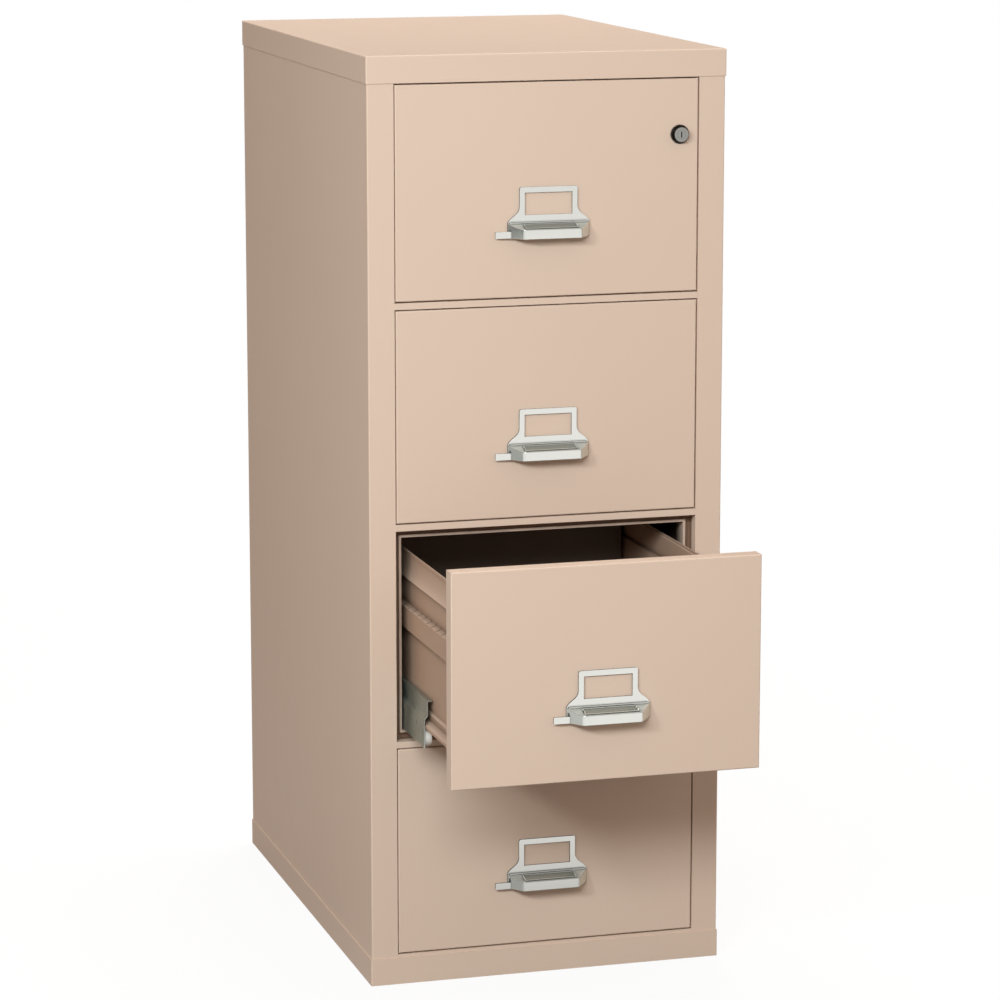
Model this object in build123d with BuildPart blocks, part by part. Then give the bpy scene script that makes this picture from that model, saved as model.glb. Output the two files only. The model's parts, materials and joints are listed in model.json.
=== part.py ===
from build123d import *
import math
import os

# Fireproof filing cabinet with four insulated drawers, the third one pulled out.
# Millimetres. X runs to the right, Y to the back and Z up. The origin is on the
# floor, at the centre of the casing's footprint.

# Casing
drawer_count = 4
opening_width = 448.6
opening_height = 307.1
rail_height = 9.4  # steel strip between two drawer openings
post_width = 38.6
sill_height = 4.4  # strip between the base and the lowest opening
head_strip = 0.4  # the same under the top cap
casing_depth = 788.0
cap_height = 38.8
base_height = 39.6
proud = 1.4  # how far the cap and the base stand out from the wrapper
sheet = 1.2  # steel of the casing and of the drawers
bend_radius = 2.0
lap = 12.0  # how far the wrapper runs up into the cap and down into the base
return_depth = 16.5  # front frame's return into an opening
rear_flange = 20.0
back_insulation = 52.0
fit_gap = 0.3  # clearance between pieces that are laid against each other
past = 1.0  # how far a cutting shape runs past the faces it cuts

# Heat seal round each opening, and the lining of the cavity
channel_width = 9.0  # groove between the frame's return and the lining's hem
channel_depth = 26.0
hem_thickness = 3.6
hem_setback = 18.0
hem_depth = 8.0

# Drawer head
face_gap_side = 1.6
face_gap_height = 1.8
rim_depth = 24.0  # how far the head's rim reaches into the channel
head_depth = 44.0  # face to the back of the plug
groove_start = 17.0  # face to the bottom of the groove that takes the hem
groove_clearance = 1.0

# Drawer body
drawer_end_gap = 17.0  # closed drawer's rear end to the back of the cavity
drawer_side_inset = 29.3  # side panel's outer face from the edge of the opening
side_headroom = 24.0  # side panel's top to the top of the cavity
fold_out = 1.0  # fold along the side panel's top edge
fold_height = 4.0
band_height = 40.5
band_flat = 24.0  # below it the band leans out, and steps back in at its lip
band_out = 4.0
band_lip = 1.5
rib_top = 193.0  # heights from here on are above the bottom of the opening
rib_bottom = 157.0
rib_out = 8.0
rib_slope = 3.0
ledge_height = 59.0
ledge_out = 3.0
foot_knee = 50.0
foot_side = 45.5
foot_gap = 1.2  # drawer's foot to the rail beside it
tray_height = 60.0  # underside of the drawer's bottom
tray_back_height = 200.0
side_gap_to_head = 6.0  # how far the rib stops short of the head
notch_pitch = 25.4
notch_length = 8.5  # the notches cross the rib's upper slope
notch_width = 2.2
notch_margin = 30.0

# Slide rails, rollers and tracks
rail_start = 47.0  # closed, face to the front end of the rail
rail_end_gap = 68.0  # closed, rail's rear end to the drawer's
rail_lift = 1.4  # under the rail, above the floor of the cavity
rail_web = 41.0  # height of the lower web
rail_jog_rise = 5.0
rail_jog = 4.2
rail_tall = 68.0
rail_lip = 6.5
rail_side_gap = 2.3  # rail's outer face to the wall of the cavity
roller_diameter = 27.0
roller_width = 10.9
roller_inset = 16.0  # roller's axle from the end of the rail
roller_slot_gap = 1.0  # roller's rear to the end of the slot in the rail's floor
roller_chamfer = 0.6
rear_roller_diameter = 24.0
rear_roller_width = 9.9
rear_roller_inset = 27.0  # closed, drawer's rear axle to the rear end of the rail
track_roller_diameter = 15.0
track_roller_width = 4.0
axle_diameter = 6.0
running_gap = 0.1
track_sheet = 1.0
track_start = 46.0
track_end_gap = 10.0
track_low = 47.5  # track's lower lip above the bottom of the rail
track_rail_gap = 0.6  # track's lips to the rail beside them
glide_length = 40.0
glide_thickness = 1.1

# Pull handle, heights from the middle of the drawer face
handle_top = 4.6
frame_half = 42.5
window_half = 35.0
window_top = -3.2
window_bottom = -34.8
neck_height = -21.8
shoulder_height = -46.0
shoulder_half = 60.0
handle_bottom = -67.0
bar_half = 42.0
bar_height = 13.9
bar_radius = 1.2
corner_radius = 6.0  # upright corners at the ends of the bar
scoop = 1.2  # sag of the hood's concave top
handle_out = 26.5
handle_plate = 3.0
handle_wall = 3.6
frame_radius = 3.2
flare = 0.35  # sideways lean of the frame's flare where it meets the hood
latch_left = 79.5
latch_right = 26.0
latch_lift = 0.5  # latch's lower edge above the hood's
latch_height = 10.0
latch_thickness = 3.0
latch_out = 5.0  # latch's rear face from the drawer face
latch_radius = 1.0

# Lock of the top drawer
lock_inset = 29.6  # lock's axis from the edge of the opening
lock_above_middle = 73.0
collar_diameter = 27.0
collar_proud = 3.0
sleeve_diameter = 24.0
plunger_diameter = 20.6
plunger_proud = 10.0
plunger_length = 46.0
key_plug_diameter = 12.0
key_plug_length = 18.0
key_slot_width = 1.6
key_slot_height = 8.4
lock_gap = 0.15
lock_bar_width = 8.0
lock_bar_inset = 20.0
lock_bar_end_gap = 60.0

# Divider block in each drawer
follower_side_gap = 7.8  # to the drawer's side panels
follower_height = 190.0
follower_foot = 60.0
follower_sheet = 1.5
follower_place = 0.7  # share of the drawer's length in front of the divider

# Small parts
screw_head = 9.0
screw_head_height = 1.1
screw_length = 10.0
screw_shank = 4.0
screw_rows = 5

# How far each drawer stands open, from the top one down
drawers_out = (0.0, 0.0, 285.0, 0.0)

# Sizes that follow from these
pitch = opening_height + rail_height
openings_height = drawer_count * opening_height + (drawer_count - 1) * rail_height
height = base_height + sill_height + openings_height + head_strip + cap_height
casing_half = opening_width / 2 + post_width
cap_half = casing_half + proud
opening_half = opening_width / 2
front = -casing_depth / 2
face = front + proud
back = casing_depth / 2 - proud
wrapper_low = base_height - lap
wrapper_high = height - cap_height + lap
hem_outer = opening_half - channel_width
cavity_half = hem_outer - hem_thickness
floor_height = channel_width + hem_thickness  # cavity's floor above the opening's bottom
cavity_top = opening_height - floor_height
cavity_back = back - sheet - back_insulation
core_front = face + channel_depth + sheet + fit_gap
drawer_head_half = opening_half - face_gap_side
plug_half = cavity_half - groove_clearance
groove_half = hem_outer + groove_clearance
drawer_length = cavity_back - drawer_end_gap - face - head_depth
drawer_side_x = opening_half - drawer_side_inset
side_top = cavity_top - side_headroom
band_bottom = side_top - band_height
rail_length = head_depth + drawer_length - rail_start - rail_end_gap
rail_bottom = floor_height + rail_lift
rail_outer = cavity_half - rail_side_gap
rail_inner = rail_outer - sheet
roller_x = rail_inner - roller_width - fit_gap
roller_axis_height = rail_bottom + roller_diameter / 2
rear_axis_height = rail_bottom + sheet + fit_gap + rear_roller_diameter / 2
rear_roller_reach = rail_start + rail_length - rear_roller_inset - head_depth
track_axis_height = rail_bottom + track_low + track_sheet + fit_gap + track_roller_diameter / 2
foot_bottom = rail_bottom + roller_diameter + fit_gap
lock_x = opening_half - lock_inset
follower_half = drawer_side_x - sheet - follower_side_gap
follower_behind_head = follower_place * drawer_length


def opening_bottom(number):
    """Height of the bottom of an opening, counted from the top one."""
    top = height - cap_height - head_strip
    return top - (number - 1) * pitch - opening_height


def block(x0, x1, y0, y1, z0, z1, mode=Mode.ADD):
    """A box between two corners, added to or cut from the part being built."""
    with Locations(((x0 + x1) / 2, (y0 + y1) / 2, (z0 + z1) / 2)):
        Box(x1 - x0, y1 - y0, z1 - z0, mode=mode)


def sheet_outline(middle, thickness):
    """Corners of a bent sheet whose middle line runs through the points given."""
    left, right = [], []
    for i, point in enumerate(middle):
        before = middle[max(i - 1, 0)]
        after = middle[min(i + 1, len(middle) - 1)]
        into = (point[0] - before[0], point[1] - before[1])
        out = (after[0] - point[0], after[1] - point[1])
        if i == 0:
            into = out
        if i == len(middle) - 1:
            out = into
        into_length, out_length = math.hypot(*into), math.hypot(*out)
        n1 = (-into[1] / into_length, into[0] / into_length)
        n2 = (-out[1] / out_length, out[0] / out_length)
        share = thickness / 2 / (1 + n1[0] * n2[0] + n1[1] * n2[1])
        shift = ((n1[0] + n2[0]) * share, (n1[1] + n2[1]) * share)
        left.append((point[0] + shift[0], point[1] + shift[1]))
        right.append((point[0] - shift[0], point[1] - shift[1]))
    return left + right[::-1]


def profile_run(points, y0, y1):
    """Extrudes a closed outline in X and Z from y0 to y1."""
    with BuildSketch(Plane.XZ.offset(-y1)) as outline:
        with BuildLine():
            Polyline(*points, close=True)
        make_face()
    extrude(outline.sketch, amount=y1 - y0)


def finish(part, name):
    """Names a finished piece and writes it."""
    part.label = name
    export_step(part, f"parts/{name}.step")


def make_top_cap():
    low = height - cap_height
    inner = cap_half - sheet
    with BuildPart() as top_cap:
        block(-cap_half, cap_half, front, -front, low, height)
        fillet(top_cap.edges().filter_by(Axis.Z), radius=bend_radius)
        fillet(top_cap.faces().sort_by(Axis.Z)[-1].edges(), radius=bend_radius)
        block(-inner, inner, front + sheet, -front - sheet, low - past, height - sheet,
              mode=Mode.SUBTRACT)
    finish(top_cap.part, "top_cap")


def make_base_plinth():
    inner = cap_half - sheet
    with BuildPart() as base_plinth:
        block(-cap_half, cap_half, front, -front, 0, base_height)
        fillet(base_plinth.edges().filter_by(Axis.Z), radius=bend_radius)
        block(-inner, inner, front + sheet, -front - sheet, sheet, base_height + past,
              mode=Mode.SUBTRACT)
    finish(base_plinth.part, "base_plinth")


def make_casing_wrapper():
    """One bent sheet: both sides, the two front posts, their returns and the rear flanges."""
    with BuildPart() as casing_wrapper:
        with BuildSketch(Plane.XY.offset(wrapper_low)):
            with Locations((0, (face + back) / 2)):
                RectangleRounded(2 * casing_half, back - face, bend_radius)
                RectangleRounded(
                    2 * (casing_half - sheet), back - face - 2 * sheet, bend_radius - sheet,
                    mode=Mode.SUBTRACT,
                )
            with Locations((0, face)):
                Rectangle(2 * opening_half, 4 * sheet, mode=Mode.SUBTRACT)
            with Locations((0, back)):
                Rectangle(2 * (casing_half - rear_flange), 4 * sheet, mode=Mode.SUBTRACT)
            with Locations(
                (opening_half + sheet / 2, face + return_depth / 2),
                (-opening_half - sheet / 2, face + return_depth / 2),
            ):
                Rectangle(sheet, return_depth)
        extrude(amount=wrapper_high - wrapper_low)
        screw_holes(back)
    finish(casing_wrapper.part, "casing_wrapper")


def make_frame_rails():
    """Channels across the front: one under each opening and one over the top one."""
    with BuildPart() as frame_rails:
        for number in range(1, drawer_count):
            top = opening_bottom(number)
            low = top - rail_height
            block(-opening_half, opening_half, face, face + return_depth, low, top)
            block(
                -opening_half, opening_half, face + sheet, face + return_depth + past,
                low + sheet, top - sheet, mode=Mode.SUBTRACT,
            )
        sill = opening_bottom(drawer_count)
        block(-opening_half, opening_half, face, face + sheet, wrapper_low, sill)
        block(-opening_half, opening_half, face + sheet, face + return_depth, sill - sheet, sill)
        head = opening_bottom(1) + opening_height
        block(-opening_half, opening_half, face, face + sheet, head, wrapper_high)
        block(-opening_half, opening_half, face + sheet, face + return_depth, head, head + sheet)
    finish(frame_rails.part, "frame_rails")


def make_back_panel():
    half = casing_half - bend_radius
    with BuildPart() as back_panel:
        block(-half, half, back - 2 * sheet, back - sheet, wrapper_low, wrapper_high)
        screw_holes(back)
    finish(back_panel.part, "back_panel")


def screw_places():
    """Where the back panel is screwed to the wrapper's rear flanges."""
    x = casing_half - rear_flange / 2
    span = height - cap_height - base_height - 2 * rear_flange
    step = span / (screw_rows - 1)
    return [
        (side * x, base_height + rear_flange + row * step)
        for side in (-1, 1)
        for row in range(screw_rows)
    ]


def screw_holes(y):
    """Bores clearance holes for the back panel's screws through the sheets near y."""
    for x, z in screw_places():
        with Locations(Plane(origin=(x, y, z), z_dir=(0, 1, 0))):
            Cylinder(screw_shank / 2 + running_gap, 6 * sheet, mode=Mode.SUBTRACT)


def make_insulation_core():
    """Fire-resistant filling between the casing and the linings of the four cavities."""
    half = casing_half - sheet - fit_gap
    with BuildPart() as insulation_core:
        block(-half, half, core_front, back - 2 * sheet - fit_gap - screw_length,
              sheet, height - sheet)
        for number in range(1, drawer_count + 1):
            low = opening_bottom(number)
            block(
                -cavity_half - sheet, cavity_half + sheet, core_front - past, cavity_back + sheet,
                low + floor_height - sheet, low + cavity_top + sheet, mode=Mode.SUBTRACT,
            )
    finish(insulation_core.part, "insulation_core")


def make_cavity_linings():
    """One steel box for each drawer, open at the front, with a hemmed edge."""
    with BuildPart() as cavity_linings:
        for number in range(1, drawer_count + 1):
            low = opening_bottom(number)
            hem_front = face + hem_setback
            block(
                -cavity_half - sheet, cavity_half + sheet, hem_front, cavity_back + sheet,
                low + floor_height - sheet, low + cavity_top + sheet,
            )
            block(
                -hem_outer, hem_outer, hem_front, hem_front + hem_depth,
                low + channel_width, low + opening_height - channel_width,
            )
            block(
                -cavity_half, cavity_half, hem_front - past, cavity_back,
                low + floor_height, low + cavity_top, mode=Mode.SUBTRACT,
            )
    finish(cavity_linings.part, "cavity_linings")


def make_seal_channels():
    """The groove round each opening that takes the rim of the drawer's head."""
    with BuildPart() as seal_channels:
        for number in range(1, drawer_count + 1):
            low = opening_bottom(number)
            high = low + opening_height
            start = face + return_depth
            end = face + channel_depth
            block(-opening_half - sheet, opening_half + sheet, start, end + sheet,
                  low - sheet, high + sheet)
            block(-opening_half, opening_half, start - past, end, low, high, mode=Mode.SUBTRACT)
            block(
                -cavity_half - sheet, cavity_half + sheet, end - past, end + sheet + past,
                low + floor_height - sheet, low + cavity_top + sheet, mode=Mode.SUBTRACT,
            )
    finish(seal_channels.part, "seal_channels")


def make_slide_tracks():
    """Thin channels on the cavity's walls that carry the rails' rear rollers."""
    reach = rail_outer - rail_jog + track_rail_gap
    with BuildPart() as slide_tracks:
        for number in range(1, drawer_count + 1):
            low = opening_bottom(number) + rail_bottom + track_low
            lip = track_sheet
            clear = track_roller_diameter + 2 * fit_gap
            high = low + clear + 2 * lip
            start, end = face + track_start, cavity_back - track_end_gap
            block(reach, cavity_half, start, end, low, high)
            block(reach - past, cavity_half - lip, start - past, end + past, low + lip, high - lip,
                  mode=Mode.SUBTRACT)
        mirror(about=Plane.YZ)
    finish(slide_tracks.part, "slide_tracks")


def make_glide_pads():
    """Low-friction pads on the cavity's floor, two under each rail."""
    with BuildPart() as glide_pads:
        for number in range(1, drawer_count + 1):
            low = opening_bottom(number) + floor_height
            for start in (rail_start + fit_gap, rail_start + rail_length / 3):
                block(
                    rail_inner - rail_lip, rail_outer, face + start, face + start + glide_length,
                    low, low + glide_thickness,
                )
        mirror(about=Plane.YZ)
    finish(glide_pads.part, "glide_pads")


def make_back_screws():
    with BuildPart() as back_screws:
        for x, z in screw_places():
            with Locations(Plane(origin=(x, back, z), z_dir=(0, 1, 0))):
                Cylinder(screw_head / 2, screw_head_height,
                         align=(Align.CENTER, Align.CENTER, Align.MIN))
                Cylinder(screw_shank / 2, screw_length,
                         align=(Align.CENTER, Align.CENTER, Align.MAX))
    finish(back_screws.part, "back_screws")


def make_drawer_front(number, y, low):
    """Steel pan of the head, with a boxed rim that enters the heat seal's channel."""
    half = drawer_head_half
    z0, z1 = low + face_gap_height, low + opening_height - face_gap_height
    inner_low = low + channel_width - groove_clearance
    inner_high = low + opening_height - channel_width + groove_clearance
    with BuildPart() as drawer_front:
        block(-half, half, y, y + rim_depth, z0, z1)
        fillet(drawer_front.faces().sort_by(Axis.Y)[0].edges(), radius=bend_radius)
        block(-half + sheet, half - sheet, y + sheet, y + rim_depth - sheet,
              z0 + sheet, z1 - sheet, mode=Mode.SUBTRACT)
        block(-groove_half, groove_half, y + rim_depth - 2 * sheet, y + rim_depth + past,
              inner_low, inner_high, mode=Mode.SUBTRACT)
        if number == 1:
            with Locations(lock_plane(y)):
                Cylinder(sleeve_diameter / 2 + lock_gap, 4 * sheet, mode=Mode.SUBTRACT)
    finish(drawer_front.part, f"drawer_front_{number}")


def lock_height():
    return opening_bottom(1) + opening_height / 2 + lock_above_middle


def lock_plane(y):
    """Plane across the lock's axis at a depth, facing the front."""
    return Plane(origin=(lock_x, y, lock_height()), x_dir=(1, 0, 0), z_dir=(0, -1, 0))


def make_head_core(number, y, low):
    """Insulation of the head: it fills the pan and its rim and forms the plug."""
    half = drawer_head_half - sheet
    z0 = low + face_gap_height + sheet
    z1 = low + opening_height - face_gap_height - sheet
    groove_low = low + channel_width - groove_clearance
    groove_high = low + opening_height - channel_width + groove_clearance
    plug_low = low + floor_height + groove_clearance
    plug_high = low + cavity_top - groove_clearance
    with BuildPart() as head_core:
        block(-half, half, y + sheet, y + rim_depth - sheet, z0, z1)
        block(-groove_half, groove_half, y + groove_start, y + rim_depth,
              groove_low, groove_high, mode=Mode.SUBTRACT)
        block(-plug_half + sheet, plug_half - sheet, y + groove_start, y + head_depth - sheet,
              plug_low + sheet, plug_high - sheet)
        if number == 1:
            with Locations(lock_plane(y + head_depth / 2)):
                Cylinder(sleeve_diameter / 2 + lock_gap, head_depth, mode=Mode.SUBTRACT)
    finish(head_core.part, f"head_core_{number}")


def make_drawer_tray(number, y, low):
    """Inner pan over the plug, the drawer's bottom and its back, as one welded piece."""
    plug_low = low + floor_height + groove_clearance
    plug_high = low + cavity_top - groove_clearance
    inside = drawer_side_x - sheet
    rear = y + head_depth + drawer_length
    floor_low = low + tray_height
    with BuildPart() as drawer_tray:
        block(-plug_half, plug_half, y + groove_start, y + head_depth, plug_low, plug_high)
        block(-plug_half + sheet, plug_half - sheet, y + groove_start - past,
              y + head_depth - sheet, plug_low + sheet, plug_high - sheet, mode=Mode.SUBTRACT)
        block(-inside, inside, y + head_depth, rear, floor_low, floor_low + sheet)
        block(-inside, inside, rear - sheet, rear, floor_low, low + tray_back_height)
        if number == 1:
            with Locations(lock_plane(y + head_depth)):
                Cylinder(sleeve_diameter / 2 + lock_gap, 4 * sheet, mode=Mode.SUBTRACT)
    finish(drawer_tray.part, f"drawer_tray_{number}")


def make_drawer_sides(number, y, low):
    """Two bent side panels, each with a top band, a notched rib, a ledge and a foot."""
    x = drawer_side_x - sheet / 2
    start, end = y + head_depth, y + head_depth + drawer_length
    foot_x = rail_inner - foot_gap - sheet / 2
    section = [
        (x + fold_out, low + side_top),
        (x + fold_out, low + side_top - fold_height),
        (x, low + side_top - fold_height - fold_out),
        (x, low + side_top - band_flat),
        (x + band_out, low + band_bottom + band_lip),
        (x, low + band_bottom),
        (x, low + rib_top),
        (x + rib_out, low + rib_top - rib_slope),
        (x + rib_out, low + rib_bottom + rib_slope),
        (x, low + rib_bottom),
        (x, low + ledge_height + rib_slope),
        (x + ledge_out, low + ledge_height),
        (x + ledge_out, low + foot_knee),
        (foot_x, low + foot_side),
        (foot_x, low + foot_bottom + sheet / 2),
        (x - sheet, low + foot_bottom + sheet / 2),
    ]
    slot_count = int((drawer_length - 2 * notch_margin) / notch_pitch)
    first = start + notch_margin
    axle_y = start + rear_roller_reach
    axle_z = low + rear_axis_height
    tab_x = roller_x - sheet
    with BuildPart() as drawer_sides:
        profile_run(sheet_outline(section, sheet), start, end)
        block(x + sheet / 2, x + rib_out + sheet, start - past, start + side_gap_to_head,
              low + rib_bottom - sheet, low + rib_top + sheet, mode=Mode.SUBTRACT)
        with Locations(*[
            (x + rib_out / 2, first + i * notch_pitch, low + rib_top) for i in range(slot_count)
        ]):
            Box(notch_length, notch_width, 3 * rib_slope, mode=Mode.SUBTRACT)
        block(tab_x - sheet, tab_x, axle_y - axle_diameter, axle_y + axle_diameter,
              axle_z - axle_diameter, low + foot_bottom + sheet)
        with Locations(Plane(origin=(tab_x, axle_y, axle_z), z_dir=(1, 0, 0))):
            Cylinder(axle_diameter / 2, roller_width,
                     align=(Align.CENTER, Align.CENTER, Align.MIN))
        mirror(about=Plane.YZ)
    finish(drawer_sides.part, f"drawer_sides_{number}")


def make_slide_rails(number, y, low):
    """Bent steel rails between the casing and the drawer, which move half as far."""
    start, end = y + rail_start, y + rail_start + rail_length
    z = low + rail_bottom
    outer = rail_outer - sheet / 2
    section = [
        (rail_inner - rail_lip, z + sheet / 2),
        (outer, z + sheet / 2),
        (outer, z + rail_web),
        (outer - rail_jog, z + rail_web + rail_jog_rise),
        (outer - rail_jog, z + rail_tall - sheet / 2),
        (outer - rail_jog - rail_lip, z + rail_tall - sheet / 2),
    ]
    axle_y = start + roller_inset
    slot_end = axle_y + roller_diameter / 2 + roller_slot_gap
    with BuildPart() as slide_rails:
        profile_run(sheet_outline(section, sheet), start, end)
        block(rail_inner - rail_lip - past, rail_inner, start - past, slot_end,
              z - past, z + sheet + past, mode=Mode.SUBTRACT)
        with Locations(Plane(
            origin=(rail_inner, axle_y, low + roller_axis_height), z_dir=(-1, 0, 0)
        )):
            Cylinder(axle_diameter / 2, roller_width,
                     align=(Align.CENTER, Align.CENTER, Align.MIN))
        with Locations(Plane(
            origin=(rail_outer - rail_jog, end - roller_inset, low + track_axis_height),
            z_dir=(1, 0, 0),
        )):
            Cylinder(axle_diameter / 2, track_roller_width,
                     align=(Align.CENTER, Align.CENTER, Align.MIN))
        mirror(about=Plane.YZ)
    finish(slide_rails.part, f"slide_rails_{number}")


def make_rollers(name, x, width, y, z, diameter):
    """A pair of bored rollers on one axis, one at each side."""
    with BuildPart() as rollers:
        with Locations(Plane(origin=(x, y, z), z_dir=(1, 0, 0))):
            Cylinder(diameter / 2, width, align=(Align.CENTER, Align.CENTER, Align.MIN))
            Cylinder(axle_diameter / 2 + running_gap, 3 * width, mode=Mode.SUBTRACT)
        rims = rollers.edges().filter_by(GeomType.CIRCLE).group_by(SortBy.RADIUS)[-1]
        chamfer(rims, length=roller_chamfer)
        mirror(about=Plane.YZ)
    finish(rollers.part, name)


def make_handle(number, y, middle):
    """Die-cast pull: a label frame that widens into a hood with a bar along its front."""
    low, high = middle + handle_bottom, middle + shoulder_height
    out = y - handle_out
    bar_top = low + bar_height
    inner = shoulder_half - handle_wall
    with BuildPart() as hood:
        with BuildSketch(Plane.YZ.offset(-shoulder_half)):
            with BuildLine():
                Polyline(
                    (out, bar_top), (out, low), (y, low), (y, high), (y - handle_plate, high)
                )
                ThreePointArc(
                    (y - handle_plate, high),
                    ((y - handle_plate + out) / 2, (high + bar_top) / 2 - scoop),
                    (out, bar_top),
                )
            make_face()
        extrude(amount=2 * shoulder_half)
        with BuildSketch(Plane.XY.offset(low)):
            with BuildLine():
                Polyline(
                    (-shoulder_half, y), (-shoulder_half, y - handle_plate), (-bar_half, out),
                    (bar_half, out), (shoulder_half, y - handle_plate), (shoulder_half, y),
                    close=True,
                )
            make_face()
        extrude(amount=high - low, mode=Mode.INTERSECT)
        corners = hood.faces().sort_by(Axis.Y)[0].edges().filter_by(Axis.Z)
        fillet(corners, radius=corner_radius)
        fillet(hood.faces().sort_by(Axis.Y)[0].edges().filter_by(Axis.X), radius=bar_radius)
    with BuildPart() as finger_gap:
        with BuildSketch(Plane.YZ.offset(-shoulder_half)):
            with BuildLine():
                Polyline(
                    (y - handle_plate / 2, low - past), (y - handle_plate / 2, high - handle_wall),
                    (y - handle_plate, high - handle_wall),
                    (out + handle_wall, bar_top - handle_wall), (out + handle_wall, low - past),
                    close=True,
                )
            make_face()
        extrude(amount=2 * shoulder_half)
        with BuildSketch(Plane.XY.offset(low - past)):
            with BuildLine():
                Polyline(
                    (-inner, y), (-inner, y - handle_plate), (-bar_half + handle_wall / 2, out),
                    (bar_half - handle_wall / 2, out), (inner, y - handle_plate), (inner, y),
                    close=True,
                )
            make_face()
        extrude(amount=high - low + past, mode=Mode.INTERSECT)
    with BuildPart() as handle:
        with BuildSketch(Plane.XZ.offset(-y)):
            with BuildLine():
                top, neck = middle + handle_top, middle + neck_height
                Polyline(
                    (-frame_half, neck), (-frame_half, top), (frame_half, top), (frame_half, neck)
                )
                Spline(
                    (frame_half, neck), (shoulder_half, high), tangents=((0, -1), (flare, -1))
                )
                Line((shoulder_half, high), (-shoulder_half, high))
                Spline(
                    (-shoulder_half, high), (-frame_half, neck), tangents=((flare, 1), (0, 1))
                )
            make_face()
            with Locations((0, middle + (window_top + window_bottom) / 2)):
                Rectangle(2 * window_half, window_top - window_bottom, mode=Mode.SUBTRACT)
        extrude(amount=handle_plate)
        fillet(handle.edges().filter_by(Axis.Y).group_by(Axis.Z)[-1], radius=frame_radius)
        add(hood.part)
        add(finger_gap.part, mode=Mode.SUBTRACT)
        block(
            -shoulder_half - past, -bar_half, y - latch_out - latch_thickness - fit_gap,
            y - latch_out + fit_gap, low - past, low + latch_height + past, mode=Mode.SUBTRACT,
        )
    finish(handle.part, f"handle_{number}")


def make_thumb_latch(number, y, middle):
    """Flat bar inside the hood, whose end stands out at the left for the thumb."""
    low = middle + handle_bottom
    with BuildPart() as thumb_latch:
        block(-latch_left, -latch_right, y - latch_out - latch_thickness, y - latch_out,
              low + latch_lift, low + latch_height)
        free_end = thumb_latch.faces().sort_by(Axis.X)[0]
        fillet(free_end.edges().filter_by(Axis.Y), radius=latch_radius)
    finish(thumb_latch.part, f"thumb_latch_{number}")


def make_follower_block(number, y, low):
    """Sheet-steel divider that stands on the drawer's bottom and holds files upright."""
    half = follower_half
    start = y + head_depth + follower_behind_head
    floor_top = low + tray_height + sheet + fit_gap
    with BuildPart() as follower_block:
        block(-half, half, start, start + follower_sheet, floor_top, floor_top + follower_height)
        block(-half, half, start, start + follower_foot, floor_top, floor_top + follower_sheet)
        with BuildSketch(Plane.YZ.offset(-half)):
            with BuildLine():
                Polyline(
                    (start, floor_top), (start + follower_foot, floor_top),
                    (start, floor_top + follower_foot), close=True,
                )
            make_face()
        extrude(amount=follower_sheet)
        mirror(about=Plane.YZ)
    finish(follower_block.part, f"follower_block_{number}")


def make_lock(y):
    """Push lock of the top drawer: a collar, a plunger in it and the key plug in that."""
    plunger_front = y - plunger_proud
    with BuildPart() as lock_collar:
        with BuildSketch(lock_plane(y)):
            Circle(collar_diameter / 2)
            Circle(plunger_diameter / 2 + lock_gap, mode=Mode.SUBTRACT)
        extrude(amount=collar_proud)
        with BuildSketch(lock_plane(y + head_depth)):
            Circle(sleeve_diameter / 2)
            Circle(plunger_diameter / 2 + lock_gap, mode=Mode.SUBTRACT)
        extrude(amount=head_depth)
    finish(lock_collar.part, "lock_collar")
    with BuildPart() as lock_plunger:
        with BuildSketch(lock_plane(plunger_front + plunger_length)):
            Circle(plunger_diameter / 2)
        extrude(amount=plunger_length)
        with BuildSketch(lock_plane(plunger_front + key_plug_length)):
            Circle(key_plug_diameter / 2 + lock_gap)
        extrude(amount=key_plug_length + past, mode=Mode.SUBTRACT)
    finish(lock_plunger.part, "lock_plunger")
    with BuildPart() as key_plug:
        with BuildSketch(lock_plane(plunger_front + key_plug_length - lock_gap)):
            Circle(key_plug_diameter / 2)
        extrude(amount=key_plug_length - lock_gap)
        with Locations((lock_x, plunger_front, lock_height())):
            Box(key_slot_width, key_plug_length, key_slot_height, mode=Mode.SUBTRACT)
    finish(key_plug.part, "key_plug")


def make_lock_bar():
    """Upright bar behind the right post with a catch beside each drawer."""
    x = opening_half + lock_bar_inset
    y1 = core_front - fit_gap
    y0 = y1 - lock_bar_width
    with BuildPart() as lock_bar:
        block(x, x + lock_bar_width, y0, y1, base_height + lock_bar_end_gap,
              height - cap_height - lock_bar_end_gap)
        for number in range(1, drawer_count + 1):
            middle = opening_bottom(number) + opening_height / 2
            block(opening_half + 2 * sheet, x, y0, y1 - sheet, middle, middle + lock_bar_width)
    finish(lock_bar.part, "lock_bar")


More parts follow.
